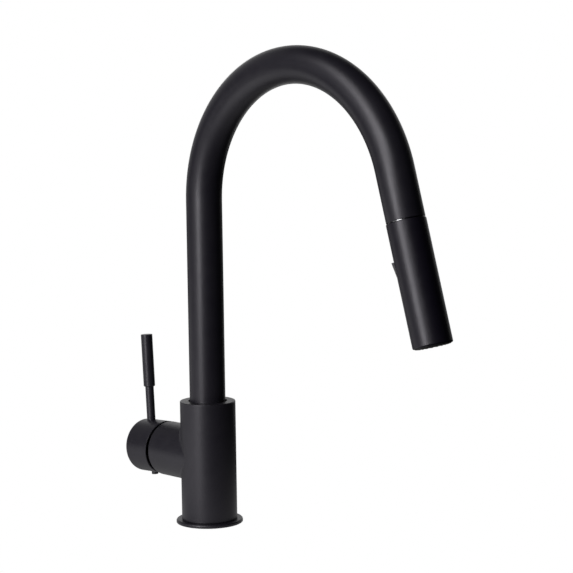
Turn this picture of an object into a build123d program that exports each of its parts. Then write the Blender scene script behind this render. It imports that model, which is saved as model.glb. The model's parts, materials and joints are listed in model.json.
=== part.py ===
from build123d import *
import math
import os

# A pull-down kitchen faucet for one 35 mm deck hole: a gooseneck spout that turns on its body, a spray head
# on a hose that pulls out of the spout, and a side valve with a slim lever.
# The origin is on the deck's top face, on the body's axis. +Z is up, the spout reaches towards -Y, and the
# valve stands out towards +Y. Lengths are in millimetres and angles in degrees.

# ---------------------------------------------------------------- driving dimensions
TUBE_RADIUS = 15.0
TUBE_WALL = 1.5
ARCH_RADIUS = 110.0            # centre line of the gooseneck's bend
ARCH_START = 272.0             # height where the bend starts
ARCH_ANGLE = 164.0             # turn of the bend, which leaves the outlet 16 degrees off vertical
OUTLET_RUN = 39.0              # straight tube after the bend, up to the docking joint

BODY_RADIUS = 23.35
BODY_TOP = 103.5
FLANGE_RADIUS = 28.1
FLANGE_HEIGHT = 3.0

VALVE_HEIGHT = 56.0            # the valve's axis over the deck
NECK_RADIUS = 23.1
NECK_MOUTH = 52.2              # the neck's open end, from the body's axis
PIVOT_REACH = 44.0             # the lever spindle's pivot pin, from the body's axis

CAP_RADIUS = 22.6
CAP_LENGTH = 27.5
CAP_REACH = 56.5               # the middle of the cap's rim, from the body's axis
CAP_RISE = 0.3                 # the cap's axis above the valve's axis at that rim
RIM_SLANT = 6.0                # the rim is cut on a slant, so its lower side leaves a wider joint
CLOSED_DROOP = 2.5             # how far the spindle and cap point down when the valve is closed
OPEN_ANGLE = 20.0              # how far they turn further down to open it fully

LEVER_REACH = 73.6             # the lever's line, from the body's axis, at the valve's height
LEVER_LEAN = 3.1               # the lever leans away from the spout
ROD_RADIUS = 3.67
GRIP_RADIUS = 4.97
GRIP_START = 51.3              # along the lever, from the valve's height
LEVER_TIP = 96.7

HEAD_RADIUS = 15.35
HEAD_WALL = 1.35
HEAD_LENGTH = 96.0
HEAD_TURN = 27.0               # the docked head is turned a little, so its button faces beside the body
SEAM_GAP = 0.7                 # docking joint between the spout's end and the head
HOSE_RADIUS = 6.6

SHANK_RADIUS = 17.0            # M34 thread for a 35 mm deck hole
SHANK_BORE = 14.7
SHANK_BOTTOM = -58.0
COUNTER_THICKNESS = 30.0       # the space left between the flange and the clamp washers

RUNNING_FIT = 0.05             # radial clearance between turning parts
FACE_GAP = 0.3                 # clearance between parts that move past each other


# ---------------------------------------------------------------- frames
def sine(angle):
    return math.sin(math.radians(angle))


def cosine(angle):
    return math.cos(math.radians(angle))


OUTLET_LEAN = 180.0 - ARCH_ANGLE
BEND_END = (0, ARCH_RADIUS * (cosine(ARCH_ANGLE) - 1), ARCH_START + ARCH_RADIUS * sine(ARCH_ANGLE))
OUTLET_DIRECTION = (0, -sine(OUTLET_LEAN), -cosine(OUTLET_LEAN))
SEAM_CENTRE = tuple(BEND_END[i] + OUTLET_RUN * OUTLET_DIRECTION[i] for i in range(3))

# Valve parts: local z runs out along the valve's axis from the body's axis, and local y is up.
VALVE = Plane(origin=(0, 0, VALVE_HEIGHT), x_dir=(-1, 0, 0), z_dir=(0, 1, 0)).location
# Cap parts: local z runs out from the cap's rim, a little downwards at rest, and the rim lies on RIM's plane.
DROOPING = (0, cosine(CLOSED_DROOP), -sine(CLOSED_DROOP))
CAP = Plane(origin=(0, CAP_REACH, VALVE_HEIGHT + CAP_RISE), x_dir=(-1, 0, 0), z_dir=DROOPING).location
RIM = Rot(-RIM_SLANT, 0, 0)
# Spindle: local z runs out from the pivot pin, parallel to the cap.
SPINDLE = Plane(origin=(0, PIVOT_REACH, VALVE_HEIGHT), x_dir=(-1, 0, 0), z_dir=DROOPING).location
# Lever: local z runs up the lever from the valve's height.
LEVER_UP = (0, sine(LEVER_LEAN), cosine(LEVER_LEAN))
LEVER = Plane(origin=(0, LEVER_REACH, VALVE_HEIGHT), x_dir=(1, 0, 0), z_dir=LEVER_UP).location
# Outlet: local z runs out of the spout from the docking joint. The head's local -y is the button's side.
OUTLET = Plane(origin=SEAM_CENTRE, x_dir=(1, 0, 0), z_dir=OUTLET_DIRECTION).location
HEAD = OUTLET * Rot(0, 0, -HEAD_TURN)


# ---------------------------------------------------------------- building blocks
def rod(radius, start, end):
    """A round bar along z."""
    return Pos(0, 0, start) * Cylinder(radius, end - start, align=(Align.CENTER, Align.CENTER, Align.MIN))


def ring(outer, inner, start, end):
    """A round tube along z."""
    return rod(outer, start, end) - rod(inner, start, end)


def block(x_span, y_span, z_span):
    """A box between two values on each axis."""
    size = [span[1] - span[0] for span in (x_span, y_span, z_span)]
    middle = [(span[1] + span[0]) / 2 for span in (x_span, y_span, z_span)]
    return Pos(*middle) * Box(*size)


def cross_bar(radius, half_length, y, z):
    """A round bar along x."""
    return Pos(0, y, z) * Rot(0, 90, 0) * Cylinder(radius, 2 * half_length)


def turned(points):
    """A lathe-turned solid about z from (radius, z) points."""
    outline = Polyline([(radius, 0, z) for radius, z in points], close=True)
    return revolve(make_face(outline), Axis.Z)


def seal(middle_radius, section_radius, z):
    """A round-section seal about z."""
    return Pos(0, 0, z) * Torus(middle_radius, section_radius)


def rims(shape, radius):
    """The circular edges of one radius, from the lowest z to the highest."""
    circles = shape.edges().filter_by(GeomType.CIRCLE)
    return circles.filter_by(lambda edge: abs(edge.radius - radius) < 0.001).sort_by(Axis.Z)


def around(radius, count):
    """Evenly spaced places on a ring about z."""
    return [Rot(0, 0, 360.0 * i / count) * Pos(radius, 0, 0) for i in range(count)]


def gooseneck(outer, inner, foot, end):
    """A tube that rises from foot, follows the bend and runs on to end, measured from the docking joint."""
    hoop = Circle(outer) - Circle(inner) if inner else Circle(outer)
    bend = revolve(Pos(0, 0, ARCH_START) * hoop, Axis((0, -ARCH_RADIUS, ARCH_START), (1, 0, 0)), ARCH_ANGLE)
    riser = extrude(Pos(0, 0, foot) * hoop, ARCH_START - foot)
    last_run = OUTLET * extrude(Pos(0, 0, -OUTLET_RUN) * hoop, OUTLET_RUN + end)
    return riser + bend + last_run


# ---------------------------------------------------------------- deck flange and clamp
FLANGE_BORE = SHANK_RADIUS + 0.4
GASKET_INNER = 20.5
GASKET_OUTER = 25.0
GASKET_DEPTH = 1.2


def deck_flange():
    plate = ring(FLANGE_RADIUS, FLANGE_BORE, 0, FLANGE_HEIGHT)
    plate = fillet(rims(plate, FLANGE_RADIUS)[-1:], 1.4)
    plate = chamfer(rims(plate, FLANGE_RADIUS)[:1], 0.3)
    return plate - ring(GASKET_OUTER, GASKET_INNER, 0, GASKET_DEPTH)


def flange_gasket():
    return ring(GASKET_OUTER, GASKET_INNER, 0, GASKET_DEPTH)


SHANK_SEAT = 16.0              # height where the shank's thread ends in the body


def threaded_shank():
    shank = ring(SHANK_RADIUS, SHANK_BORE, SHANK_BOTTOM, SHANK_SEAT)
    return chamfer(rims(shank, SHANK_RADIUS), 0.8)


RUBBER_TOP = -COUNTER_THICKNESS
RUBBER_BOTTOM = RUBBER_TOP - 3.0
STEEL_BOTTOM = RUBBER_BOTTOM - 2.0
NUT_BOTTOM = STEEL_BOTTOM - 10.0
NUT_TOP = STEEL_BOTTOM - 0.4   # the clamp screws hold the nut just off the steel washer
EAR_TOP = STEEL_BOTTOM - 1.0
NUT_HALF_WIDTH = 22.5
NUT_CORNER_RADIUS = 25.4
WASHER_RADIUS = 26.0
CLAMP_SCREW_PITCH = 22.3
CLAMP_SCREW_RADIUS = 2.0


def clamp_rubber_washer():
    return ring(WASHER_RADIUS, SHANK_RADIUS + 0.3, RUBBER_BOTTOM, RUBBER_TOP)


def clamp_steel_washer():
    return ring(WASHER_RADIUS, SHANK_RADIUS + 0.3, STEEL_BOTTOM, RUBBER_BOTTOM)


def screw_places():
    return [Pos(side * CLAMP_SCREW_PITCH, 0, 0) for side in (-1, 1)]


def mounting_nut():
    """A round-cornered hexagon nut with a washer face and two threaded ears for the clamp screws."""
    hexagon = RegularPolygon(NUT_HALF_WIDTH, 6, major_radius=False)
    nut = extrude(Pos(0, 0, NUT_BOTTOM) * hexagon, EAR_TOP - NUT_BOTTOM)
    nut &= rod(NUT_CORNER_RADIUS, NUT_BOTTOM, EAR_TOP)
    nut += rod(NUT_HALF_WIDTH - 1.0, EAR_TOP - 0.2, NUT_TOP)
    nut += [place * rod(4.0, NUT_BOTTOM, EAR_TOP) for place in screw_places()]
    nut -= rod(SHANK_RADIUS, NUT_BOTTOM, STEEL_BOTTOM)
    return nut - [place * rod(CLAMP_SCREW_RADIUS, NUT_BOTTOM, STEEL_BOTTOM) for place in screw_places()]


def clamp_screws():
    """Two slotted screws that jack the steel washer up against the deck."""
    head_bottom = NUT_BOTTOM - 9.0
    head_top = head_bottom + 2.6
    slot = block((-4.0, 4.0), (-0.5, 0.5), (head_bottom, head_bottom + 1.2))
    screw = rod(3.5, head_bottom, head_top) - slot + rod(CLAMP_SCREW_RADIUS, head_top, STEEL_BOTTOM)
    return Compound([place * screw for place in screw_places()])


# ---------------------------------------------------------------- body casting
UPPER_BUSH_SEAT = 89.5         # step that carries the spout
LOWER_BORE_END = 82.0
HOSE_CHAMBER_FLOOR = 76.0
UPPER_BORE = 16.4
LOWER_BORE = 14.6
HOSE_WAY_RADIUS = 7.9
HOSE_OFFSET = -6.8             # the hose moves off centre to leave room for the inlets
INLET_X = 9.0
INLET_Y = 4.2
MIXED_Y = 9.8
INLET_THREAD_RADIUS = 4.5      # tapped M10x1
INLET_DEPTH = 10.0
WATERWAY_RADIUS = 2.6
POCKET_FLOOR = 19.0
POCKET_RADIUS = 17.7
NUT_THREAD_RADIUS = 19.6
NUT_THREAD_START = 44.5
PORTS = {"cold": (-9.0, 1.5), "hot": (9.0, 1.5), "mixed": (0.0, -9.0)}
PEG_PLACES = [(-11.5, -8.5), (11.5, -8.5)]


def bar_between(start, end, radius):
    """A round bar from one point to another."""
    line = Vector(*end) - Vector(*start)
    base = Plane(origin=start, z_dir=line).location
    return base * rod(radius, 0, line.length)


def s_tube(radius, low, high):
    """A round bar that follows the hose's way through the body from low to high."""
    rise = (HOSE_CHAMBER_FLOOR - SHANK_SEAT) / 2
    shift = HOSE_OFFSET / 2
    bend_radius = (rise ** 2 + shift ** 2) / (2 * abs(shift))
    bend_angle = 2 * math.degrees(math.atan2(abs(shift), rise))
    lower_start = Pos(0, HOSE_OFFSET, SHANK_SEAT) * Circle(radius)
    lower = revolve(lower_start, Axis((0, HOSE_OFFSET + bend_radius, SHANK_SEAT), (-1, 0, 0)), bend_angle)
    upper_start = Pos(0, 0, HOSE_CHAMBER_FLOOR) * Circle(radius)
    upper = revolve(upper_start, Axis((0, -bend_radius, HOSE_CHAMBER_FLOOR), (-1, 0, 0)), bend_angle)
    bottom = Pos(0, HOSE_OFFSET, 0) * rod(radius, low, SHANK_SEAT)
    top = rod(radius, HOSE_CHAMBER_FLOOR, high)
    return bottom + lower + upper + top


def waterway(name):
    """A slanted passage from a tapped inlet or outlet to its port in the valve pocket's floor."""
    port_x, port_y = PORTS[name]
    start_y = MIXED_Y if name == "mixed" else INLET_Y
    start = (port_x, start_y, SHANK_SEAT + INLET_DEPTH - 3)
    end = (port_x, POCKET_FLOOR + 1, VALVE_HEIGHT + port_y)
    return bar_between(start, end, WATERWAY_RADIUS)


def main_body():
    barrel = rod(BODY_RADIUS, FLANGE_HEIGHT, BODY_TOP)
    barrel = fillet(rims(barrel, BODY_RADIUS)[-1:], 0.7)
    barrel = chamfer(rims(barrel, BODY_RADIUS)[:1], 0.5)
    neck = rod(NECK_RADIUS, 0, NECK_MOUTH)
    neck = VALVE * fillet(rims(neck, NECK_RADIUS)[-1:], 0.6)
    casting = barrel + neck
    joint = casting.edges().filter_by(GeomType.BSPLINE)
    casting = fillet(joint, 4.0)
    casting -= rod(UPPER_BORE, UPPER_BUSH_SEAT, BODY_TOP)
    casting -= rod(LOWER_BORE, LOWER_BORE_END, UPPER_BUSH_SEAT)
    casting -= rod(16.0, HOSE_CHAMBER_FLOOR, LOWER_BORE_END)
    casting -= rod(SHANK_RADIUS, FLANGE_HEIGHT, SHANK_SEAT)
    casting -= s_tube(HOSE_WAY_RADIUS, SHANK_SEAT - 1, HOSE_CHAMBER_FLOOR + 1)
    casting -= VALVE * rod(POCKET_RADIUS, POCKET_FLOOR, NECK_MOUTH)
    casting -= VALVE * rod(NUT_THREAD_RADIUS, NUT_THREAD_START, NECK_MOUTH)
    for name, (port_x, port_y) in PORTS.items():
        start_y = MIXED_Y if name == "mixed" else INLET_Y
        casting -= Pos(port_x, start_y, 0) * rod(INLET_THREAD_RADIUS, SHANK_SEAT, SHANK_SEAT + INLET_DEPTH)
        casting -= waterway(name)
    for place in PEG_PLACES:
        casting -= VALVE * Pos(*place) * rod(1.6, POCKET_FLOOR - 3, POCKET_FLOOR)
    return casting


# ---------------------------------------------------------------- spout and its bearings
TUBE_FOOT = 91.0
HUB_BOTTOM = 78.0
HUB_RADIUS = 13.2
HUB_BORE = 8.8
SNAP_GROOVE = (80.1, 81.7)
HOSE_JOINT = 110.0             # the hose turns on itself here when the spout swings


def spout_tube():
    tube = gooseneck(TUBE_RADIUS, TUBE_RADIUS - TUBE_WALL, TUBE_FOOT, -SEAM_GAP / 2)
    return fillet(rims(tube, TUBE_RADIUS).sort_by_distance(SEAM_CENTRE)[:1], 0.5)


def spout_hub():
    """A brass sleeve brazed into the tube's foot, grooved for the snap ring."""
    hub = ring(TUBE_RADIUS - TUBE_WALL, HUB_BORE, TUBE_FOOT, 106)
    hub += ring(HUB_RADIUS, HUB_BORE, HUB_BOTTOM, TUBE_FOOT)
    return hub - ring(HUB_RADIUS + 1, 12.2, *SNAP_GROOVE)


def hub_snap_ring():
    clip = ring(15.4, 12.25, SNAP_GROOVE[0] + 0.1, SNAP_GROOVE[1] - 0.1)
    return clip - block((-2.5, 2.5), (-17, 0), SNAP_GROOVE)


def swivel_washer():
    return ring(UPPER_BORE - 0.05, HUB_RADIUS + 0.3, UPPER_BUSH_SEAT, TUBE_FOOT - RUNNING_FIT)


def upper_swivel_bush():
    """The plastic bush between tube and body, set just below the body's top face."""
    bush = ring(UPPER_BORE, TUBE_RADIUS + RUNNING_FIT, TUBE_FOOT + 0.3, BODY_TOP - 1.4)
    return chamfer(rims(bush, TUBE_RADIUS + RUNNING_FIT)[-1:], 0.4)


def lower_swivel_bush():
    return ring(LOWER_BORE, HUB_RADIUS + RUNNING_FIT, LOWER_BORE_END + 0.4, UPPER_BUSH_SEAT - 0.3)


GUIDE_TOP = -28.0
NOSE_TOP = -13.0
NOSE_RADIUS = 12.4
GUIDE_BORE = 8.3


def docking_guide():
    """A plastic sleeve in the spout's end that centres the hose and takes the head's nose."""
    sleeve = rod(TUBE_RADIUS - TUBE_WALL, GUIDE_TOP, -0.4)
    sleeve -= rod(GUIDE_BORE, GUIDE_TOP, NOSE_TOP)
    sleeve -= rod(NOSE_RADIUS + 0.3, NOSE_TOP - 0.6, -0.4)
    return OUTLET * chamfer(rims(sleeve, GUIDE_BORE)[:1], 1.2)


def docking_ring():
    """A thin bright ring pressed on the guide's end, seen in the docking joint."""
    return OUTLET * ring(14.75, NOSE_RADIUS + 0.3, -0.35, 0.05)


# ---------------------------------------------------------------- hose
HOSE_LOW_END = SHANK_BOTTOM + 20.0
HOSE_UPPER_END = -OUTLET_RUN + 3.0


def spray_hose_lower():
    return s_tube(HOSE_RADIUS, HOSE_LOW_END, HOSE_JOINT - FACE_GAP / 2)


def hose_end_connector():
    """The crimped sleeve and plug-in nipple at the hose's lower end, inside the shank."""
    sleeve = rod(7.3, HOSE_LOW_END - 9, HOSE_LOW_END)
    nipple = rod(5.0, HOSE_LOW_END - 18, HOSE_LOW_END - 9) - seal(5.0, 0.9, HOSE_LOW_END - 14)
    return Pos(0, HOSE_OFFSET, 0) * (sleeve + nipple - rod(3.0, HOSE_LOW_END - 18, HOSE_LOW_END - 3))


def spray_hose_upper():
    return gooseneck(HOSE_RADIUS, 0, HOSE_JOINT + FACE_GAP / 2, HOSE_UPPER_END)


HOSE_FERRULE_TOP = -24.0
SWIVEL_NUT_TOP = -11.0
SWIVEL_NUT_END = 7.0


def spray_hose_end():
    return OUTLET * rod(HOSE_RADIUS, HOSE_UPPER_END + FACE_GAP, HOSE_FERRULE_TOP)


def hose_ferrule():
    """The crimped metal sleeve on the hose's upper end, with a flared tail in the swivel nut."""
    ferrule = turned([(2.8, HOSE_FERRULE_TOP), (7.4, HOSE_FERRULE_TOP), (7.4, SWIVEL_NUT_TOP - 1),
                      (4.6, SWIVEL_NUT_TOP), (4.6, 3.0), (6.4, 3.0), (6.4, 5.0), (2.8, 5.0)])
    return OUTLET * ferrule


def hose_swivel_nut():
    nut = turned([(4.65, SWIVEL_NUT_TOP), (8.6, SWIVEL_NUT_TOP), (8.6, SWIVEL_NUT_END), (6.5, SWIVEL_NUT_END),
                  (6.5, 2.9), (4.65, 2.9)])
    return OUTLET * nut


# ---------------------------------------------------------------- spray head
HEAD_INNER = HEAD_RADIUS - HEAD_WALL
HEAD_TOP = SEAM_GAP / 2
SHELL_END = HEAD_LENGTH - 0.9
BUTTON_PIVOT = 40.0            # along the head
BUTTON_HALF = 12.0
BUTTON_WIDTH = 5.6             # half width
BUTTON_TILT = 9.5
PIN_DEPTH = -10.2              # the button's pin, towards the button's side
PIN_RADIUS = 1.2
SPOOL_RADIUS = 3.4
SPOOL_TOP = 30.0
SPOOL_END = 50.0
CORE_TOP = 7.0
CORE_END = 80.0


def spray_head_shell():
    shell = ring(HEAD_RADIUS, HEAD_INNER, HEAD_TOP, SHELL_END)
    shell = fillet(rims(shell, HEAD_RADIUS)[:1], 0.35)
    shell = fillet(rims(shell, HEAD_RADIUS)[-1:], 1.2)
    half_width = BUTTON_WIDTH + 0.35
    half_length = BUTTON_HALF + 0.5
    window = extrude(RectangleRounded(2 * half_width, 2 * half_length, 1.5), 20)
    return HEAD * (shell - Pos(0, 0, BUTTON_PIVOT) * Rot(90, 0, 0) * window)


def docking_nose():
    """The head's plastic top: a nose that enters the spout and a shoulder that closes the shell."""
    nose = turned([(8.7, NOSE_TOP + 0.6), (NOSE_RADIUS - 1.0, NOSE_TOP + 0.6), (NOSE_RADIUS, NOSE_TOP + 3.0),
                   (NOSE_RADIUS, 0.5), (HEAD_INNER, 0.5), (HEAD_INNER, CORE_TOP), (8.7, CORE_TOP)])
    return HEAD * (nose - seal(NOSE_RADIUS, 0.8, -4.0))


def nose_ring():
    """The soft ring that grips the docking guide."""
    return HEAD * (seal(NOSE_RADIUS, 0.8, -4.0) & ring(NOSE_RADIUS + 0.25, NOSE_RADIUS - 1, -5, -3))


def head_waterway():
    """The head's inner body, bored for the check valve and the diverter, with a pocket for the button."""
    core = rod(HEAD_INNER, CORE_TOP, CORE_END)
    core = core - rod(7.2, CORE_TOP, 9.5) - rod(5.6, 9.5, 22.0) - rod(2.5, 22.0, SPOOL_TOP - 3)
    core -= rod(SPOOL_RADIUS + RUNNING_FIT, SPOOL_TOP - 3, SPOOL_END + 3)
    core -= rod(2.5, SPOOL_END + 3, CORE_END)
    pocket_span = (BUTTON_PIVOT - BUTTON_HALF - 1, BUTTON_PIVOT + BUTTON_HALF + 1)
    core -= block((-BUTTON_WIDTH - 0.5, BUTTON_WIDTH + 0.5), (-HEAD_RADIUS, -7.0), pocket_span)
    core -= block((-1.6, 1.6), (-7.5, 0), (BUTTON_PIVOT - 4.0, BUTTON_PIVOT + 4.0))
    core -= cross_bar(PIN_RADIUS, 8.0, PIN_DEPTH, BUTTON_PIVOT)
    for side in (-1, 1):
        core -= Pos(side * 8.5, 4.5, 0) * rod(2.0, 55.0, CORE_END)
        core -= block(sorted((side * 2.0, side * 8.5)), (3.0, 6.0), (55.0, 58.0))
    core -= block((-2.0, 2.0), (0, 6.0), (55.0, 58.0))
    return HEAD * core


def hose_seal_washer():
    return HEAD * ring(7.1, 3.2, CORE_TOP + 0.3, CORE_TOP + 2.4)


def check_valve():
    """The non-return cartridge in the head's inlet, a sealed unit with a guide cage."""
    unit = ring(5.5, 3.6, 9.6, 21.5) + rod(4.0, 14.0, 15.5)
    return HEAD * (unit - [place * rod(0.8, 13, 17) for place in around(2.4, 4)])


def button_pin():
    return HEAD * cross_bar(PIN_RADIUS, 7.9, PIN_DEPTH, BUTTON_PIVOT)


def about_button_pin(shape, angle):
    """Turn a shape about the button's pin."""
    pin = Pos(0, PIN_DEPTH, BUTTON_PIVOT)
    return pin * Rot(angle, 0, 0) * pin.inverse() * shape


def spray_button():
    """A two-way rocker: its lower half is flush at rest and its upper half stands out."""
    surface = rod(HEAD_RADIUS, BUTTON_PIVOT - BUTTON_HALF, BUTTON_PIVOT + BUTTON_HALF)
    width = (-BUTTON_WIDTH, BUTTON_WIDTH)
    lower = surface & block(width, (-HEAD_RADIUS, -12.6), (BUTTON_PIVOT, BUTTON_PIVOT + BUTTON_HALF))
    upper = surface & block(width, (-HEAD_RADIUS, -12.6), (BUTTON_PIVOT - BUTTON_HALF, BUTTON_PIVOT))
    button = lower + about_button_pin(upper, -BUTTON_TILT)
    button = fillet(button.edges().filter_by(Axis.X).group_by(Axis.Z)[0].sort_by(Axis.Y)[:1], 0.5)
    button += Pos(0, PIN_DEPTH, BUTTON_PIVOT) * Rot(0, 90, 0) * Cylinder(2.6, 2 * BUTTON_WIDTH)
    button += block((-1.2, 1.2), (PIN_DEPTH, -2.0), (BUTTON_PIVOT - 1.0, BUTTON_PIVOT + 1.0))
    return HEAD * (button - cross_bar(PIN_RADIUS + RUNNING_FIT, 8.0, PIN_DEPTH, BUTTON_PIVOT))


SPOOL_SEALS = (SPOOL_TOP + 2.0, SPOOL_END - 2.0)


def diverter_spool():
    """The sliding spool that sends water to the jet or the spray, grooved for the button's finger."""
    spool = rod(SPOOL_RADIUS, SPOOL_TOP, SPOOL_END)
    spool -= ring(SPOOL_RADIUS + 1, 1.6, BUTTON_PIVOT - 1.25, BUTTON_PIVOT + 1.25)
    for place in SPOOL_SEALS:
        spool -= seal(SPOOL_RADIUS - 0.4, 0.5, place)
    return HEAD * spool


def diverter_seals():
    envelope = rod(SPOOL_RADIUS, SPOOL_TOP, SPOOL_END)
    return HEAD * Compound([seal(SPOOL_RADIUS - 0.4, 0.5, place) & envelope for place in SPOOL_SEALS])


DIFFUSER_TOP = CORE_END
DIFFUSER_END = 85.0
AERATOR_RADIUS = 6.0
FACE_TOP = 90.0
FACE_END = SHELL_END - 0.4
NOZZLE_RINGS = ((8.4, 12), (11.2, 18))
NOZZLE_RADIUS = 0.75


def nozzle_places():
    """The nozzles stand on two rings around the jet outlet."""
    return [place for radius, count in NOZZLE_RINGS for place in around(radius, count)]


def flow_diffuser():
    """The plate that spreads the water to the nozzles and carries the aerator."""
    plate = rod(HEAD_INNER, DIFFUSER_TOP, DIFFUSER_END) - rod(AERATOR_RADIUS, DIFFUSER_TOP + 2, DIFFUSER_END)
    plate -= rod(2.5, DIFFUSER_TOP, DIFFUSER_TOP + 2)
    plate -= [place * rod(1.0, DIFFUSER_TOP, DIFFUSER_END) for place in around(9.8, 12)]
    return HEAD * plate


def aerator_insert():
    """The jet's aerator, a plastic cup with a cross-ribbed outlet."""
    cup = ring(AERATOR_RADIUS, AERATOR_RADIUS - 0.8, DIFFUSER_TOP + 2, FACE_END)
    ribs = block((-5.5, 5.5), (-0.25, 0.25), (FACE_END - 3, FACE_END - 1))
    mesh = [Pos(0, offset, 0) * ribs & rod(5.3, 80, 100) for offset in (-3.0, 0.0, 3.0)]
    mesh += [Rot(0, 0, 90) * bar for bar in mesh]
    return HEAD * (cup + mesh)


def face_seal():
    return HEAD * seal(12.6, 0.9, DIFFUSER_END + 0.9)


def nozzle_mat():
    """The soft pad whose nozzles stand through the face."""
    pad = ring(12.9, AERATOR_RADIUS + 0.9, FACE_TOP - 2.0, FACE_TOP)
    tip = HEAD_LENGTH
    nozzle = turned([(0.3, FACE_TOP - 0.5), (NOZZLE_RADIUS, FACE_TOP - 0.5), (NOZZLE_RADIUS, tip - 0.6),
                     (NOZZLE_RADIUS - 0.2, tip), (0.3, tip)])
    return HEAD * (pad + [place * nozzle for place in nozzle_places()])


def spray_face():
    """The threaded face ring that closes the head."""
    face = ring(HEAD_INNER, AERATOR_RADIUS, FACE_TOP, FACE_END)
    face += ring(HEAD_INNER, 12.95, DIFFUSER_END + 2, FACE_TOP)
    face -= [place * rod(NOZZLE_RADIUS, FACE_TOP, FACE_END) for place in nozzle_places()]
    return HEAD * face


# ---------------------------------------------------------------- ceramic cartridge
PORT_RADIUS = 2.8
PORT_SEAL_RADIUS = 4.2
PORT_SEAL_HEIGHT = 1.6
DISC_FACE = 28.0               # where the two ceramic discs meet
BALL_RADIUS = 2.6
BALL_ARM = 10.0
DISC_LIFT = BALL_ARM * (sine(CLOSED_DROOP + OPEN_ANGLE) - sine(CLOSED_DROOP))
SPINDLE_END = 31.0


def port_places():
    return [Pos(x, y, 0) for x, y in PORTS.values()]


def cartridge_base():
    base = rod(17.4, POCKET_FLOOR, 24.0) + ring(15.3, 13.0, 24.0, 27.5)
    base += [Pos(*place) * rod(1.55, POCKET_FLOOR - 2.8, POCKET_FLOOR) for place in PEG_PLACES]
    for place in port_places():
        base -= place * rod(PORT_RADIUS, POCKET_FLOOR, 24.0)
        base -= place * rod(PORT_SEAL_RADIUS, POCKET_FLOOR, POCKET_FLOOR + PORT_SEAL_HEIGHT)
    return VALVE * base


def cartridge_port_seals():
    port_seal = ring(PORT_SEAL_RADIUS, PORT_RADIUS, POCKET_FLOOR, POCKET_FLOOR + PORT_SEAL_HEIGHT)
    return VALVE * Compound([place * port_seal for place in port_places()])


def fixed_ceramic_disc():
    disc = rod(13.0, 24.0, DISC_FACE)
    return VALVE * (disc - [place * rod(2.6, 24.0, DISC_FACE) for place in port_places()])


def moving_ceramic_disc():
    """The upper disc, with a hollow that joins the ports, set to one side when the valve is closed."""
    disc = rod(11.2, DISC_FACE + 0.03, 31.2)
    hollow = Pos(0, -1.0, 0) * rod(6.5, DISC_FACE + 0.03, DISC_FACE + 1.8)
    return VALVE * Pos(0, -DISC_LIFT / 2, 0) * (disc - hollow)


def disc_carrier():
    """The plastic slide that the spindle's ball pushes, with flats that the rotor's legs guide."""
    slide = rod(11.4, 31.2, 32.3) + block((-7.9, 7.9), (-8.5, 8.5), (32.3, 36.0))
    half_slot = BALL_RADIUS + 0.08
    ball_rest = BALL_ARM * sine(CLOSED_DROOP) + DISC_LIFT / 2
    slot = block((-half_slot, half_slot), (ball_rest - half_slot, ball_rest + half_slot), (31.3, 36.0))
    return VALVE * Pos(0, -DISC_LIFT / 2, 0) * (slide - slot)


def cartridge_housing():
    shell = turned([(15.4, 24.0), (17.4, 24.0), (17.4, 45.0), (15.5, 45.0), (15.5, 50.0), (12.5, 50.0),
                    (12.5, 41.2), (15.4, 41.2)])
    return VALVE * shell


def cartridge_rotor():
    """The collar that turns with the lever and carries the spindle's pin."""
    collar = rod(15.2, 37.0, 41.0) + rod(12.5 - RUNNING_FIT, 41.0, 54.0)
    for side in (-1, 1):
        collar += block(sorted((side * 8.0, side * 10.0)), (-6.0, 6.0), (32.7, 37.0))
    collar -= block((-4.06, 4.06), (-9.0, 9.0), (36.0, 55.0))
    return VALVE * (collar - cross_bar(1.5, 13.0, 0, PIVOT_REACH))


def spindle_pin():
    return VALVE * cross_bar(1.5, 11.8, 0, PIVOT_REACH)


def lever_spindle():
    """The square spindle: a ball that moves the disc, the pivot hole, and a shank for the handle cap."""
    spindle = Pos(0, 0, -BALL_ARM) * Sphere(BALL_RADIUS) + rod(1.9, -BALL_ARM, -3.0)
    spindle += block((-4.0, 4.0), (-4.0, 4.0), (-4.0, SPINDLE_END))
    return SPINDLE * (spindle - cross_bar(1.5 + RUNNING_FIT, 5.0, 0, 0))


def cartridge_nut():
    """The round nut that holds the cartridge in its pocket, notched for a pin spanner."""
    nut = ring(NUT_THREAD_RADIUS, 15.55, 45.0, 51.8)
    notch = block((-1.5, 1.5), (17.6, 20.0), (49.8, 51.8))
    return VALVE * (nut - [Rot(0, 0, 60 * i) * notch for i in range(6)])


def cartridge_cover():
    """The dark ring over the nut that shows in the gap under the handle cap."""
    cover = turned([(14.2, 51.8), (19.5, 51.8), (19.5, 52.6), (18.9, 53.0), (18.6, 54.0), (16.4, 55.6),
                    (14.2, 55.6)])
    return VALVE * cover


# ---------------------------------------------------------------- handle
CAVITY_RADIUS = 20.6
CAVITY_DEPTH = 22.0
BOSS_START = 3.5
BOSS_RADIUS = 8.4
SET_SCREW_PLACE = 15.7         # along the cap from its rim
SET_SCREW_RADIUS = 2.5
PLUG_RADIUS = 2.9
PLUG_RISE = 2.6                # the plug stands out below the cap
LEVER_SEAT = 20.5              # along the lever, from the valve's height
LEVER_MARK = (22.7, 23.1)      # a fine turned line just above the cap


def spindle_drop_in_cap():
    """How far the spindle's line lies below the cap's own axis."""
    spindle_line = (CAP_REACH - PIVOT_REACH) * sine(CLOSED_DROOP) / cosine(CLOSED_DROOP)
    return (spindle_line + CAP_RISE) * cosine(CLOSED_DROOP)


def set_screw_line(shape):
    """Set a shape that stands on z under the cap, pointing down from the cap's axis."""
    return Pos(0, 0, SET_SCREW_PLACE) * Rot(90, 0, 0) * shape


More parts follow.
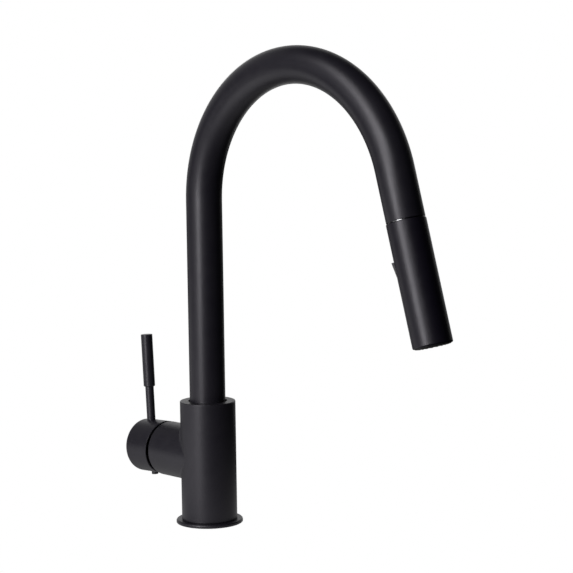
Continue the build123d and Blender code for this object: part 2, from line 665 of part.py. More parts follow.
def handle_cap():
    """A thin-walled round cap with a boss on the spindle and a post for the lever."""
    rim_space = RIM * block((-30, 30), (-30, 30), (-10, 0))
    cap = rod(CAP_RADIUS, -5, CAP_LENGTH)
    cap = fillet(rims(cap, CAP_RADIUS)[-1:], 2.6)
    cap -= rod(CAVITY_RADIUS, -5, CAVITY_DEPTH)
    cap -= rim_space
    inner_rim, outer_rim = cap.edges().filter_by(GeomType.ELLIPSE).sort_by(SortBy.LENGTH)
    cap = chamfer(outer_rim, 0.35)
    inner_rim = cap.edges().filter_by(GeomType.ELLIPSE).sort_by(SortBy.LENGTH)[0]
    cap = chamfer(inner_rim, 1.1)
    boss = Pos(0, -spindle_drop_in_cap(), 0) * rod(BOSS_RADIUS, BOSS_START, CAVITY_DEPTH + 1)
    post = CAP.inverse() * LEVER * rod(5.6, 5.0, LEVER_SEAT)
    post &= rod(CAVITY_RADIUS + 1, 0, CAVITY_DEPTH + 1)
    cap = cap + boss + post
    cap -= CAP.inverse() * LEVER * rod(3.0, 10.0, 30.0)
    cap -= CAP.inverse() * LEVER * rod(ROD_RADIUS, LEVER_SEAT, 30.0)
    cap -= CAP.inverse() * SPINDLE * block((-4.0, 4.0), (-4.0, 4.0), (0, SPINDLE_END))
    return CAP * (cap - set_screw_line(rod(SET_SCREW_RADIUS, 0, CAP_RADIUS + 1)))


def handle_set_screw():
    screw = rod(SET_SCREW_RADIUS, 4.0 + spindle_drop_in_cap(), BOSS_RADIUS + 1.0)
    socket = extrude(Pos(0, 0, BOSS_RADIUS - 1.2) * RegularPolygon(1.25, 6, major_radius=False), 3.0)
    return CAP * set_screw_line(screw - socket)


def set_screw_plug():
    """The round plug in the set screw's hole, whose head stands out below the cap."""
    plug_end = CAP_RADIUS + PLUG_RISE
    head = rod(PLUG_RADIUS, CAP_RADIUS - 1, plug_end)
    head = set_screw_line(fillet(rims(head, PLUG_RADIUS)[-1:], 0.5)) - rod(CAP_RADIUS, 0, CAP_LENGTH)
    return CAP * (head + set_screw_line(rod(SET_SCREW_RADIUS, CAVITY_RADIUS - 0.2, plug_end - 1)))


def lever_rod():
    """The lever's thin rod, threaded into the cap below a small shoulder."""
    rod_end = LEVER_TIP - 12.0
    lever = rod(3.0, 10.5, LEVER_SEAT) + rod(ROD_RADIUS, LEVER_SEAT, GRIP_START)
    lever += rod(3.0, GRIP_START, rod_end)
    lever -= ring(ROD_RADIUS + 1, ROD_RADIUS - 0.25, *LEVER_MARK)
    return LEVER * lever


def lever_grip():
    grip = rod(GRIP_RADIUS, GRIP_START, LEVER_TIP)
    grip = chamfer(rims(grip, GRIP_RADIUS)[:1], 0.6)
    grip = fillet(rims(grip, GRIP_RADIUS)[-1:], 0.3)
    return LEVER * (grip - rod(3.0, GRIP_START, LEVER_TIP - 12.0))


# ---------------------------------------------------------------- all sub-parts
SUBPARTS = [
    deck_flange, flange_gasket, threaded_shank, clamp_rubber_washer, clamp_steel_washer, mounting_nut,
    clamp_screws, main_body, swivel_washer, upper_swivel_bush, lower_swivel_bush, spray_hose_lower,
    hose_end_connector, cartridge_base, cartridge_port_seals, fixed_ceramic_disc, cartridge_housing,
    cartridge_nut, cartridge_cover, cartridge_rotor, spindle_pin, moving_ceramic_disc, disc_carrier,
    lever_spindle, handle_cap, handle_set_screw, set_screw_plug, lever_rod, lever_grip,
    spout_tube, spout_hub, hub_snap_ring, docking_guide, docking_ring, spray_hose_upper, spray_hose_end,
    hose_ferrule, hose_swivel_nut, spray_head_shell, docking_nose, nose_ring, head_waterway,
    hose_seal_washer, check_valve, button_pin, spray_button, diverter_spool, diverter_seals,
    flow_diffuser, aerator_insert, face_seal, nozzle_mat, spray_face,
]

os.makedirs("parts", exist_ok=True)
for subpart in SUBPARTS:
    export_step(subpart(), "parts/" + subpart.__name__ + ".step")
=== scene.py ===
import json
import math
import bpy
from mathutils import Matrix, Vector


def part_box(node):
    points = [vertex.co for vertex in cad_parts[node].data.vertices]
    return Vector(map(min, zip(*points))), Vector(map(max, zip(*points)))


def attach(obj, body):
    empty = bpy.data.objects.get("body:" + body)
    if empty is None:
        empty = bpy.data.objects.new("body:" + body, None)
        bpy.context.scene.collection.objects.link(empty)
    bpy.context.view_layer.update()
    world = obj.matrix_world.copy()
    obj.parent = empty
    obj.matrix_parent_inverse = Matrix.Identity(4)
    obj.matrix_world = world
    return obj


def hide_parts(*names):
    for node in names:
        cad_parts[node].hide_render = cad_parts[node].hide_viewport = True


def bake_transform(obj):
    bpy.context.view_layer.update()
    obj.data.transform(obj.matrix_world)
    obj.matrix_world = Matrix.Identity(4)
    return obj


# The looks of a matte black pull-down kitchen faucet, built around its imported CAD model.
# Lengths are in metres.

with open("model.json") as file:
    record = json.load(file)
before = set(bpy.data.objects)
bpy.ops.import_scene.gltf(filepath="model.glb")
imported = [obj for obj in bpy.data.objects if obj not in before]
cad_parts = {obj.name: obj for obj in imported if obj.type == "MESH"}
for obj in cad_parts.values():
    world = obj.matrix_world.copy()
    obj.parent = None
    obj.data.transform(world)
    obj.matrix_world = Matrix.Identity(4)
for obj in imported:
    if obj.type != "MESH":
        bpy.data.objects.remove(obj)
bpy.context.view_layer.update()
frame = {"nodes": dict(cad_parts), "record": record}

MM = 0.001
JOINTS = {joint["name"]: joint for joint in frame["record"]["behaviour"]["joints"]}
SEAM = Vector(JOINTS["head_turn"]["pos_m"])             # docking joint, on the outlet's axis
OUT = Vector(JOINTS["head_turn"]["axis"]).normalized()  # out of the spout
PULL = JOINTS["spray_pull"]["range_m"][1]               # how far the head comes out
UP = Vector((0, 0, 1))
SIDE = Vector((1, 0, 0))


# ---------------------------------------------------------------- camera
VIEW_BEARING = math.radians(41.26)    # the camera stands this far round from -Y towards -X
VIEW_TURN = math.radians(2.56)        # it looks a little to the right of the body
VIEW_PITCH = math.radians(6.27)
VIEW_ROLL = math.radians(-0.76)
CAMERA_DISTANCE = 1.5127
CAMERA_HEIGHT = 0.3650
LENS_MM = 114.38
HEADING = VIEW_BEARING + VIEW_TURN
FORWARD = Vector((math.sin(HEADING), math.cos(HEADING), 0))   # level, away from the camera
RIGHT = Vector((math.cos(HEADING), -math.sin(HEADING), 0))    # level, the camera's right


def make_camera():
    place = Vector((-math.sin(VIEW_BEARING), -math.cos(VIEW_BEARING), 0)) * CAMERA_DISTANCE
    place.z = CAMERA_HEIGHT
    sight = FORWARD * math.cos(VIEW_PITCH) - UP * math.sin(VIEW_PITCH)
    up = RIGHT.cross(sight)
    rolled_right = RIGHT * math.cos(VIEW_ROLL) + up * math.sin(VIEW_ROLL)
    rolled_up = up * math.cos(VIEW_ROLL) - RIGHT * math.sin(VIEW_ROLL)
    turn = Matrix((rolled_right, rolled_up, -sight)).transposed()
    camera = bpy.data.objects.new("camera", bpy.data.cameras.new("camera"))
    camera.data.lens = LENS_MM
    camera.data.sensor_width = 36
    camera.matrix_world = Matrix.Translation(place) @ turn.to_4x4()
    bpy.context.scene.collection.objects.link(camera)
    bpy.context.scene.camera = camera


# ---------------------------------------------------------------- light
def softbox(name, place, target, size, power):
    """A rectangular softbox at place that faces target."""
    data = bpy.data.lights.new(name, "AREA")
    data.shape = "RECTANGLE"
    data.size, data.size_y = size
    data.energy = power
    light = bpy.data.objects.new(name, data)
    light.location = place
    light.rotation_euler = (Vector(target) - Vector(place)).to_track_quat("-Z", "Y").to_euler()
    bpy.context.scene.collection.objects.link(light)


SOFTBOXES = (
    # name, place, target, size, watts
    ("key_softbox", (-1.6, -0.25, 0.75), (0, -0.12, 0.25), (0.9, 1.3), 13.5),
    ("low_softbox", (-1.7, -0.25, 0.25), (0, -0.12, 0.20), (0.5, 0.5), 5),
    ("front_softbox", (-1.3, -0.7, 1.0), (0, -0.12, 0.25), (0.6, 0.6), 4.5),
    ("top_softbox", (-1.2, 0.1, 1.5), (0, -0.12, 0.25), (0.9, 0.9), 7.5),
    ("side_softbox", (-1.5, 0.6, 0.4), (0, -0.12, 0.20), (0.7, 1.0), 1.5),
)


def glow_within(tree, value, edge, full, level):
    """Light that rises from none where value is edge to level where value is full."""
    fade = tree.nodes.new("ShaderNodeMapRange")
    fade.interpolation_type = "SMOOTHSTEP"
    fade.inputs["From Min"].default_value = edge
    fade.inputs["From Max"].default_value = full
    fade.inputs["To Min"].default_value = 0.0
    fade.inputs["To Max"].default_value = level
    tree.links.new(value, fade.inputs["Value"])
    return fade.outputs["Result"]


def added_up(tree, values):
    total = values[0]
    for value in values[1:]:
        add = tree.nodes.new("ShaderNodeMath")
        add.operation = "ADD"
        tree.links.new(total, add.inputs[0])
        tree.links.new(value, add.inputs[1])
        total = add.outputs["Value"]
    return total


BACKDROPS = (
    # towards, degrees from that direction where the glow ends and where it is full, level
    (FORWARD + 0.20 * UP, 35, 10, 0.9),                 # the white backdrop
    (FORWARD - 0.8 * RIGHT + 0.20 * UP, 40, 10, 0.5),   # its end on the valve's side
    (FORWARD + 0.6 * RIGHT + 0.20 * UP, 28, 8, 0.5),    # its other end
)


def make_studio():
    """White to the camera; for the light it gives, a glowing backdrop in a dark room."""
    world = bpy.data.worlds.new("studio")
    bpy.context.scene.world = world
    world.use_nodes = True
    tree = world.node_tree
    tree.nodes.clear()
    coordinates = tree.nodes.new("ShaderNodeTexCoord")
    glows = []
    for towards, edge, full, level in BACKDROPS:
        facing = tree.nodes.new("ShaderNodeVectorMath")
        facing.operation = "DOT_PRODUCT"
        facing.inputs[1].default_value = towards.normalized()
        tree.links.new(coordinates.outputs["Generated"], facing.inputs[0])
        glows.append(glow_within(tree, facing.outputs["Value"], math.cos(math.radians(edge)),
                                 math.cos(math.radians(full)), level))
    lit = tree.nodes.new("ShaderNodeBackground")
    tree.links.new(added_up(tree, glows), lit.inputs["Strength"])
    seen = tree.nodes.new("ShaderNodeBackground")
    seen.inputs["Color"].default_value = (1, 1, 1, 1)
    path = tree.nodes.new("ShaderNodeLightPath")
    mix = tree.nodes.new("ShaderNodeMixShader")
    output = tree.nodes.new("ShaderNodeOutputWorld")
    tree.links.new(path.outputs["Is Camera Ray"], mix.inputs["Fac"])
    tree.links.new(lit.outputs["Background"], mix.inputs[1])
    tree.links.new(seen.outputs["Background"], mix.inputs[2])
    tree.links.new(mix.outputs["Shader"], output.inputs["Surface"])
    bpy.context.scene.view_settings.view_transform = "Standard"


FLOOR_HALF = 4.0
FLOOR_PATCHES = (
    # centre of the lit patch, radius, light sent up at the centre
    ((0.0, 0.0, 0.0), 0.35, 0.4),
    ((-0.35, 0.1, 0.0), 0.4, 1.4),
    ((-0.4, 0.9, 0.0), 0.8, 1.0),
    ((0.75, 0.65, 0.0), 0.8, 1.0),
)


def make_floor():
    """A plain white floor at the deck's height, lit in patches and evenly white to the camera."""
    mesh = bpy.data.meshes.new("floor")
    corners = [(FLOOR_HALF * x, FLOOR_HALF * y, 0) for x, y in ((-1, -1), (1, -1), (1, 1), (-1, 1))]
    mesh.from_pydata(corners, [], [(0, 1, 2, 3)])
    floor = bpy.data.objects.new("floor", mesh)
    bpy.context.scene.collection.objects.link(floor)
    material = bpy.data.materials.new("floor")
    material.use_nodes = True
    tree = material.node_tree
    tree.nodes.clear()
    coordinates = tree.nodes.new("ShaderNodeTexCoord")
    glows = []
    for centre, radius, level in FLOOR_PATCHES:
        distance = tree.nodes.new("ShaderNodeVectorMath")
        distance.operation = "DISTANCE"
        distance.inputs[1].default_value = centre
        tree.links.new(coordinates.outputs["Object"], distance.inputs[0])
        glows.append(glow_within(tree, distance.outputs["Value"], radius, 0.0, level))
    path = tree.nodes.new("ShaderNodeLightPath")
    strength = tree.nodes.new("ShaderNodeMix")
    strength.data_type = "FLOAT"
    strength.inputs["B"].default_value = 1.0
    tree.links.new(path.outputs["Is Camera Ray"], strength.inputs["Factor"])
    tree.links.new(added_up(tree, glows), strength.inputs["A"])
    glow = tree.nodes.new("ShaderNodeEmission")
    tree.links.new(strength.outputs["Result"], glow.inputs["Strength"])
    output = tree.nodes.new("ShaderNodeOutputMaterial")
    tree.links.new(glow.outputs["Emission"], output.inputs["Surface"])
    mesh.materials.append(material)


make_camera()
for light in SOFTBOXES:
    softbox(*light)
make_studio()
make_floor()


# ---------------------------------------------------------------- material tools
def principled(name, colour, roughness, metallic=0.0):
    """A new material with one principled shader."""
    material = bpy.data.materials.new(name)
    material.use_nodes = True
    shader = material.node_tree.nodes["Principled BSDF"]
    shader.inputs["Base Color"].default_value = (*colour, 1)
    shader.inputs["Roughness"].default_value = roughness
    shader.inputs["Metallic"].default_value = metallic
    return material, shader


def place_on(material, stretch=(1, 1, 1), source="Object"):
    """Texture coordinates in the object's own metres, or its UV map, stretched along each axis."""
    tree = material.node_tree
    coordinates = tree.nodes.new("ShaderNodeTexCoord")
    mapping = tree.nodes.new("ShaderNodeMapping")
    mapping.inputs["Scale"].default_value = stretch
    tree.links.new(coordinates.outputs[source], mapping.inputs["Vector"])
    return mapping.outputs["Vector"]


def noise(material, scale, detail=2.0, stretch=(1, 1, 1)):
    texture = material.node_tree.nodes.new("ShaderNodeTexNoise")
    texture.inputs["Scale"].default_value = scale
    texture.inputs["Detail"].default_value = detail
    material.node_tree.links.new(place_on(material, stretch), texture.inputs["Vector"])
    return texture.outputs["Fac"]


def vary(material, factor, socket, low, high, span=(0.3, 0.7)):
    """Runs a socket between two values or colours as the factor crosses a span."""
    tree = material.node_tree
    ramp = tree.nodes.new("ShaderNodeValToRGB")
    for element, place, value in zip(ramp.color_ramp.elements, span, (low, high)):
        element.position = place
        element.color = (*value, 1) if isinstance(value, tuple) else (value, value, value, 1)
    tree.links.new(factor, ramp.inputs["Fac"])
    tree.links.new(ramp.outputs["Color"], socket)


def bump(material, shader, height, distance, strength=1.0):
    tree = material.node_tree
    node = tree.nodes.new("ShaderNodeBump")
    node.inputs["Distance"].default_value = distance
    node.inputs["Strength"].default_value = strength
    tree.links.new(height, node.inputs["Height"])
    tree.links.new(node.outputs["Normal"], shader.inputs["Normal"])


# ---------------------------------------------------------------- materials
def violet_black(shade):
    """A near-black grey of this shade, with the coat's faint violet added."""
    return (shade + 0.001, shade, shade + 0.0044)


def powder_coat(name, shade, roughness):
    """Matte black powder coat: satin, with a fine even grain."""
    material, shader = principled(name, violet_black(shade), roughness)
    shader.inputs["Specular Tint"].default_value = (0.97, 0.94, 1.0, 1)
    vary(material, noise(material, 90), shader.inputs["Base Color"], violet_black(0.9 * shade),
         violet_black(1.1 * shade))
    vary(material, noise(material, 140), shader.inputs["Roughness"], roughness - 0.02, roughness + 0.02)
    bump(material, shader, noise(material, 3200, 3), 0.00002, 0.35)
    return material


def black_plastic():
    """Moulded black plastic with a fine spark-eroded texture."""
    material, shader = principled("black_plastic", (0.013, 0.012, 0.016), 0.5)
    vary(material, noise(material, 260), shader.inputs["Base Color"], (0.0115, 0.0105, 0.0145),
         (0.016, 0.0145, 0.019))
    vary(material, noise(material, 700), shader.inputs["Roughness"], 0.44, 0.58)
    bump(material, shader, noise(material, 5200, 4), 0.00003, 0.5)
    return material


def white_plastic():
    """Natural acetal: slightly translucent, off white, with faint flow marks."""
    material, shader = principled("white_plastic", (0.76, 0.74, 0.69), 0.38)
    shader.inputs["Subsurface Weight"].default_value = 0.15
    shader.inputs["Subsurface Scale"].default_value = 0.002
    vary(material, noise(material, 130, 3, (1, 1, 0.25)), shader.inputs["Base Color"], (0.72, 0.70, 0.64),
         (0.80, 0.78, 0.73))
    vary(material, noise(material, 420), shader.inputs["Roughness"], 0.33, 0.45)
    bump(material, shader, noise(material, 2400, 2), 0.00002, 0.25)
    return material


def black_nickel():
    """A dark plated ring with hair-fine handling marks."""
    material, shader = principled("black_nickel", (0.28, 0.28, 0.29), 0.16, 1.0)
    vary(material, noise(material, 900, 4, (1, 1, 0.1)), shader.inputs["Roughness"], 0.12, 0.2)
    bump(material, shader, noise(material, 4000, 3, (1, 0.1, 1)), 0.00001, 0.2)
    return material


def machined_brass():
    """Turned brass: fine tool lines, with a duller, redder tone in patches."""
    material, shader = principled("machined_brass", (0.72, 0.53, 0.27), 0.28, 1.0)
    vary(material, noise(material, 110, 4), shader.inputs["Base Color"], (0.62, 0.42, 0.20),
         (0.78, 0.60, 0.33))
    vary(material, noise(material, 500, 3), shader.inputs["Roughness"], 0.22, 0.38)
    bump(material, shader, noise(material, 900, 2, (0.3, 0.3, 6)), 0.00003, 0.4)
    return material


def zinc_steel():
    """Zinc-plated steel: pale grey with cloudy warm and cool patches."""
    material, shader = principled("zinc_steel", (0.62, 0.62, 0.63), 0.34, 1.0)
    vary(material, noise(material, 150, 4), shader.inputs["Base Color"], (0.56, 0.57, 0.60),
         (0.68, 0.66, 0.60))
    vary(material, noise(material, 340, 3), shader.inputs["Roughness"], 0.27, 0.45)
    bump(material, shader, noise(material, 1800, 3), 0.00003, 0.3)
    return material


def black_rubber():
    """Moulded rubber: dull, with a faint grey bloom."""
    material, shader = principled("black_rubber", (0.02, 0.02, 0.02), 0.72)
    vary(material, noise(material, 180, 3), shader.inputs["Base Color"], (0.016, 0.016, 0.016),
         (0.028, 0.028, 0.027))
    vary(material, noise(material, 600), shader.inputs["Roughness"], 0.65, 0.82)
    bump(material, shader, noise(material, 3600, 3), 0.00004, 0.5)
    return material


def silicone():
    """The soft dark nozzles, slightly translucent and waxy."""
    material, shader = principled("silicone", (0.05, 0.05, 0.052), 0.55)
    shader.inputs["Subsurface Weight"].default_value = 0.1
    shader.inputs["Subsurface Scale"].default_value = 0.001
    vary(material, noise(material, 400), shader.inputs["Base Color"], (0.042, 0.042, 0.044),
         (0.06, 0.06, 0.062))
    vary(material, noise(material, 900), shader.inputs["Roughness"], 0.5, 0.64)
    bump(material, shader, noise(material, 5000, 2), 0.00002, 0.3)
    return material


def lapped_ceramic():
    """Off-white alumina, lapped to a satin face with small dark specks."""
    material, shader = principled("lapped_ceramic", (0.85, 0.84, 0.8), 0.2)
    vary(material, noise(material, 2600, 4), shader.inputs["Base Color"], (0.72, 0.71, 0.67),
         (0.87, 0.86, 0.82), (0.28, 0.4))
    vary(material, noise(material, 800), shader.inputs["Roughness"], 0.15, 0.28)
    bump(material, shader, noise(material, 3000, 2), 0.00001, 0.2)
    return material


BRAID_STRANDS = 24                     # strands each way round the hose
BRAID_LAY = 0.034                      # length of hose over which a strand goes once round
BRAID_RELIEF = 0.0003                  # height of a strand


def braid(name, place_on_hose):
    """Woven nylon over the hose: two sets of strands that cross over and under, with painted shade darkening
    the hollows of the weave.
    """
    material, shader = principled(name, (0.1, 0.1, 0.105), 0.5)
    tree = material.node_tree

    def maths(operation, first, second=None):
        node = tree.nodes.new("ShaderNodeMath")
        node.operation = operation
        for socket, value in zip(node.inputs, (first, second)):
            if isinstance(value, (int, float)):
                socket.default_value = value
            elif value is not None:
                tree.links.new(value, socket)
        return node.outputs["Value"]

    along, turns = place_on_hose(material)
    lay = maths("MULTIPLY", along, BRAID_STRANDS / BRAID_LAY)
    angle = maths("MULTIPLY", turns, BRAID_STRANDS)
    ridges = []
    for sign in (1, -1):
        phase = maths("ADD", angle, maths("MULTIPLY", lay, sign))
        ridges.append(maths("SINE", maths("MULTIPLY", phase, 2 * math.pi)))
    over = maths("SINE", maths("MULTIPLY", lay, 2 * math.pi))
    crossing = maths("MULTIPLY", maths("MULTIPLY", ridges[0], ridges[1]), 0.5)
    height = maths("ADD", crossing, maths("MULTIPLY", over, 0.15))
    # the colour follows the weave's height: painted shade, darker down in the hollows between strands and
    # lighter on the crossing strands
    vary(material, maths("ADD", height, 0.5), shader.inputs["Base Color"], (0.035, 0.035, 0.037),
         (0.16, 0.16, 0.165), (0.15, 0.9))
    vary(material, noise(material, 900), shader.inputs["Roughness"], 0.42, 0.6)
    bump(material, shader, height, BRAID_RELIEF, 0.8)
    return material


def place_in_uv(material):
    """How far along the hose a point of the surface is, and its turns round the hose, from the UV map."""
    tree = material.node_tree
    split = tree.nodes.new("ShaderNodeSeparateXYZ")
    tree.links.new(place_on(material, source="UV"), split.inputs["Vector"])
    return split.outputs["X"], split.outputs["Y"]


def place_round_body_axis(material):
    """How far up the body's axis a point of the surface is, and its turns round that axis."""
    tree = material.node_tree
    split = tree.nodes.new("ShaderNodeSeparateXYZ")
    tree.links.new(place_on(material), split.inputs["Vector"])
    angle = tree.nodes.new("ShaderNodeMath")
    angle.operation = "ARCTAN2"
    tree.links.new(split.outputs["X"], angle.inputs[0])
    tree.links.new(split.outputs["Y"], angle.inputs[1])
    turns = tree.nodes.new("ShaderNodeMath")
    turns.operation = "DIVIDE"
    turns.inputs[1].default_value = 2 * math.pi
    tree.links.new(angle.outputs["Value"], turns.inputs[0])
    return split.outputs["Z"], turns.outputs["Value"]


MATERIALS = {
    "black_finish": powder_coat("powder_coat", 0.0098, 0.38),
    "black_plastic": black_plastic(),
    "white_plastic": white_plastic(),
    "bright_ring": black_nickel(),
    "brass": machined_brass(),
    "zinc_steel": zinc_steel(),
    "black_rubber": black_rubber(),
    "soft_nozzle": silicone(),
    "ceramic": lapped_ceramic(),
    "hose_braid": braid("hose_braid", place_round_body_axis),
}
PAINTED_SHADE_HEAD_COAT = powder_coat("painted_shade_head_coat", 0.004, 0.38)      # a darker copy of the coat for the shell: painted shade, standing in for the dimmer light on the spray head
SLOT_OF = {part["node"]: part["material_slot"] for part in frame["record"]["subparts"]}

for node_name, node_object in frame["nodes"].items():
    node_object.data.materials.clear()
    node_object.data.materials.append(MATERIALS[SLOT_OF[node_name]])
# the spray head's shell takes the darker copy of the coat, painted shade
frame["nodes"]["spray_head_shell"].data.materials[0] = PAINTED_SHADE_HEAD_COAT


# ---------------------------------------------------------------- mesh tools
SHARP_EDGE = 50                        # degrees; a bend sharper than this shows as an edge


def add_piece(name, points, faces, material):
    """A smooth mesh piece."""
    mesh = bpy.data.meshes.new(name)
    mesh.from_pydata(points, [], faces)
    mesh.materials.append(material)
    mesh.update()
    for face in mesh.polygons:
        face.use_smooth = True
    mesh.set_sharp_from_angle(angle=math.radians(SHARP_EDGE))
    piece = bpy.data.objects.new(name, mesh)
    bpy.context.scene.collection.objects.link(piece)
    return piece


def tube_faces(ring_count, ring_size, closed):
    """Quads between neighbouring rings of points; closed joins the last ring to the first."""
    faces = []
    for ring in range(ring_count if closed else ring_count - 1):
        following = (ring + 1) % ring_count
        for i in range(ring_size):
            j = (i + 1) % ring_size
            faces.append((ring * ring_size + i, ring * ring_size + j, following * ring_size + j,
                          following * ring_size + i))
    return faces


def ring_points(centre, side, other, radius, ring_size):
    turns = [2 * math.pi * i / ring_size for i in range(ring_size)]
    return [centre + (side * math.cos(turn) + other * math.sin(turn)) * radius for turn in turns]


# ---------------------------------------------------------------- spout
TUBE_RADIUS = 15.0 * MM
TUBE_BORE = 13.5 * MM
TUBE_FOOT = 91.0 * MM
ARCH_RADIUS = 110.0 * MM
ARCH_START = 272.0 * MM
ARCH_ANGLE = math.radians(164)
SEAM_HALF = 0.35 * MM
END_ROUNDING = 0.5 * MM
LEG_STEPS = 6
ARCH_STEPS = 164
ROUNDING_STEPS = 5
RING_SIZE = 128


def spout_stations():
    """Centre line stations from the foot to the docking joint, each with the arch's outward direction."""
    stations = []
    for step in range(LEG_STEPS + 1):
        height = TUBE_FOOT + (ARCH_START - TUBE_FOOT) * step / LEG_STEPS
        stations.append((Vector((0, 0, height)), Vector((0, 1, 0))))
    for step in range(1, ARCH_STEPS + 1):
        angle = ARCH_ANGLE * step / ARCH_STEPS
        outward = Vector((0, math.cos(angle), math.sin(angle)))
        centre = Vector((0, -ARCH_RADIUS, ARCH_START)) + outward * ARCH_RADIUS
        stations.append((centre, outward))
    return stations


def make_spout():
    """The gooseneck as one smooth tube with a bore and a rounded end."""
    stations = spout_stations()
    outward = stations[-1][1]
    end = SEAM - OUT * SEAM_HALF
    points = []
    for centre, direction in stations:
        points += ring_points(centre, SIDE, direction, TUBE_RADIUS, RING_SIZE)
    for step in range(ROUNDING_STEPS + 1):
        turn = math.radians(90) * step / ROUNDING_STEPS
        centre = end - OUT * END_ROUNDING * (1 - math.sin(turn))
        radius = TUBE_RADIUS - END_ROUNDING * (1 - math.cos(turn))
        points += ring_points(centre, SIDE, outward, radius, RING_SIZE)
    points += ring_points(end, SIDE, outward, TUBE_BORE, RING_SIZE)
    for centre, direction in reversed(stations):
        points += ring_points(centre, SIDE, direction, TUBE_BORE, RING_SIZE)
    faces = tube_faces(len(points) // RING_SIZE, RING_SIZE, closed=True)
    spout = add_piece("gooseneck", points, faces, MATERIALS["black_finish"])
    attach(spout, "spout")
    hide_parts("spout_tube")


# ---------------------------------------------------------------- spray hose
HOSE_RADIUS = 6.6 * MM
HOSE_START = -36.0 * MM                # inside the spout, from the docking joint
HOSE_END = -24.0 * MM                  # at the ferrule
HOSE_RINGS = 260
HOSE_RING_SIZE = 48
HALVINGS = 40                          # of the span that a ring's place is sought in


def hose_place(share):
    """Where a ring stands between start and end at rest, so that the rings are evenly spread at full pull."""
    low, high = 0.0, 1.0
    for _ in range(HALVINGS):
        place = (low + high) / 2
        weight = place * place * (3 - 2 * place)
        reached = place * (HOSE_END - HOSE_START) + weight * PULL
        if reached < share * (HOSE_END - HOSE_START + PULL):
            low = place
        else:
            high = place
    return (low + high) / 2


def make_hose():
    """The braided hose from the spout to the head, packed short in the spout, as it lies at rest."""
    across = OUT.cross(SIDE).normalized()
    start, end = SEAM + OUT * HOSE_START, SEAM + OUT * HOSE_END
    full_length = HOSE_END - HOSE_START + PULL
    points = []
    lengths = []
    for ring in range(HOSE_RINGS):
        share = ring / (HOSE_RINGS - 1)
        centre = start.lerp(end, hose_place(share))
        points += ring_points(centre, SIDE, across, HOSE_RADIUS, HOSE_RING_SIZE)
        lengths.append(share * full_length)
    faces = tube_faces(HOSE_RINGS, HOSE_RING_SIZE, closed=False)
    faces.append(tuple(reversed(range(HOSE_RING_SIZE))))
    last = (HOSE_RINGS - 1) * HOSE_RING_SIZE
    faces.append(tuple(range(last, last + HOSE_RING_SIZE)))
    hose_braid = braid("pulled_hose_braid", place_in_uv)
    hose = add_piece("braided_hose", points, faces, hose_braid)
    uv = hose.data.uv_layers.new(name="length")
    for face in hose.data.polygons:
        corners = [hose.data.loops[i].vertex_index % HOSE_RING_SIZE for i in face.loop_indices]
        closes_the_ring = max(corners) == HOSE_RING_SIZE - 1
        for loop, corner in zip(face.loop_indices, corners):
            step = HOSE_RING_SIZE if corner == 0 and closes_the_ring else corner
            ring = hose.data.loops[loop].vertex_index // HOSE_RING_SIZE
            uv.data[loop].uv = (lengths[ring], step / HOSE_RING_SIZE)
    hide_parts("spray_hose_end")
    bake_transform(hose)


# ---------------------------------------------------------------- threaded shank
SHANK_BORE = 14.7 * MM
THREAD_PITCH = 1.5 * MM
THREAD_DEPTH = 0.61 * THREAD_PITCH
GROOVE_SHARE = 0.9                     # of the depth; the ends are turned down by all of it
THREAD_RING_SIZE = 96
STEPS_PER_TURN = 8


def thread_radius(major, height, length, share_of_turn):
    """The radius at a height above the foot; the helical groove fades in over a pitch at each end."""
    fade = min(1.0, height / THREAD_PITCH, (length - height) / THREAD_PITCH)
    phase = (height / THREAD_PITCH - share_of_turn) % 1.0
    return major - THREAD_DEPTH * (abs(2 * phase - 1) * GROOVE_SHARE * fade + (1 - fade))


def make_shank():
    """The brass shank with a real helical thread."""
    low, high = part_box("threaded_shank")
    major, length = high.x, high.z - low.z
    foot = UP * low.z
    count = int(length / THREAD_PITCH * STEPS_PER_TURN)
    points = []
    for step in range(count + 1):
        height = length * step / count
        for i in range(THREAD_RING_SIZE):
            share_of_turn = i / THREAD_RING_SIZE
            radius = thread_radius(major, height, length, share_of_turn)
            turn = 2 * math.pi * share_of_turn
            points.append(foot + Vector((math.cos(turn) * radius, math.sin(turn) * radius, height)))
    for height in (length, 0.0):
        points += ring_points(foot + UP * height, SIDE, UP.cross(SIDE), SHANK_BORE, THREAD_RING_SIZE)
    faces = tube_faces(len(points) // THREAD_RING_SIZE, THREAD_RING_SIZE, closed=True)
    shank = add_piece("shank_thread", points, faces, MATERIALS["brass"])
    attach(shank, "base")
    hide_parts("threaded_shank")


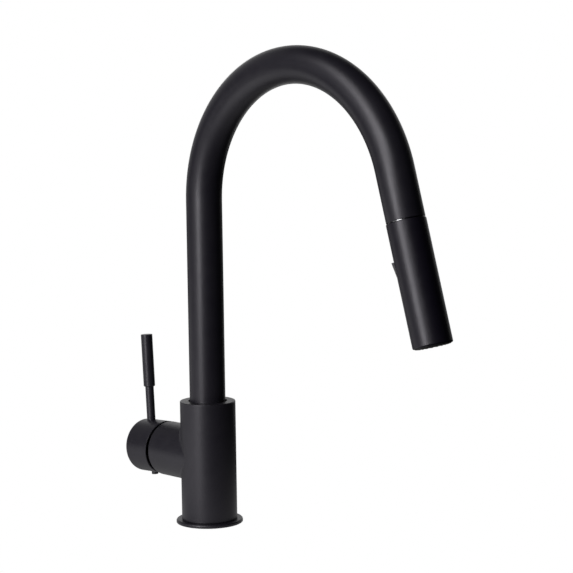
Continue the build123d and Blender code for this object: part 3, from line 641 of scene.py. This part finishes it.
# ---------------------------------------------------------------- spray face
HEAD_ACROSS = Vector(JOINTS["button_press"]["axis"]).normalized()
HEAD_BACK = OUT.cross(HEAD_ACROSS)
FACE_RING_SIZE = 96
NOZZLE_RING_SIZE = 16
NOZZLE_RINGS = ((8.4 * MM, 12), (11.2 * MM, 18))       # radius and number of nozzles
# Each profile goes by radius and depth below the docking joint, in millimetres.
PLATE_PROFILE = (
    # the plate stands a little proud of the shell and screws in behind the pad
    (6.0, 90.0), (12.95, 90.0), (12.95, 87.0), (14.0, 87.0), (14.0, 94.7), (13.7, 94.7), (13.7, 95.3),
    (13.6, 95.5), (13.3, 95.6), (6.6, 95.6), (6.2, 95.5), (6.0, 95.2),
)
NOZZLE_PROFILE = ((0.3, 95.0), (0.75, 95.0), (0.75, 95.7), (0.65, 95.85), (0.5, 95.9), (0.3, 95.85))
PAD_PROFILE = ((6.9, 88.0), (12.9, 88.0), (12.9, 90.0), (6.9, 90.0))


def turned(profile, ring_size, offset=Vector((0, 0, 0))):
    """The points and faces of a profile turned about the head's axis, or about a line offset from it."""
    points = []
    for radius, depth in profile:
        centre = SEAM + OUT * depth * MM + offset
        points += ring_points(centre, HEAD_ACROSS, HEAD_BACK, radius * MM, ring_size)
    return points, tube_faces(len(profile), ring_size, closed=True)


def make_spray_face():
    """The face plate, and the soft pad with its nozzles."""
    points, faces = turned(PLATE_PROFILE, FACE_RING_SIZE)
    plate = add_piece("face_plate", points, faces, MATERIALS["black_plastic"])
    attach(plate, "spray_head")
    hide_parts("spray_face")
    points, faces = turned(PAD_PROFILE, FACE_RING_SIZE)
    for radius, count in NOZZLE_RINGS:
        for offset in ring_points(Vector((0, 0, 0)), HEAD_ACROSS, HEAD_BACK, radius, count):
            nozzle_points, nozzle_faces = turned(NOZZLE_PROFILE, NOZZLE_RING_SIZE, offset)
            faces += [tuple(corner + len(points) for corner in face) for face in nozzle_faces]
            points += nozzle_points
    nozzles = add_piece("soft_nozzles", points, faces, MATERIALS["soft_nozzle"])
    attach(nozzles, "spray_head")
    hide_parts("nozzle_mat")


make_spout()
make_hose()
make_spray_face()
make_shank()
